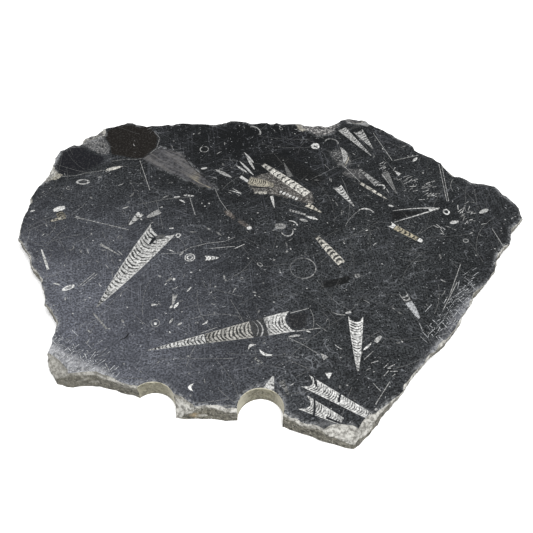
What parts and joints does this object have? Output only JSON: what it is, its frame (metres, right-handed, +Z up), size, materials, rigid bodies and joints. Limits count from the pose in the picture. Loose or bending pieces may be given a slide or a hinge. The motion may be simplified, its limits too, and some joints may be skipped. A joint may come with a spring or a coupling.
{
  "type": "orthoceras fossil slab",
  "caption": "Flat broken-edged plate of black limestone, polished on top to show pale straight cone-shaped shells in section, for lying on a shelf or table as a display piece.",
  "frame": {"origin": "middle of the plate's outline box, on the flat underside", "axes": "+X along the plate's longest extent, to the right as seen in the picture; +Y away from the viewer; +Z up, out of the polished face"},
  "size_m": [0.5343, 0.422, 0.02],
  "materials": {
    "stone": "polished top, rough broken edge"
  },
  "bodies": {
    "root": {"slab": "stone"}
  },
  "joints": []
}
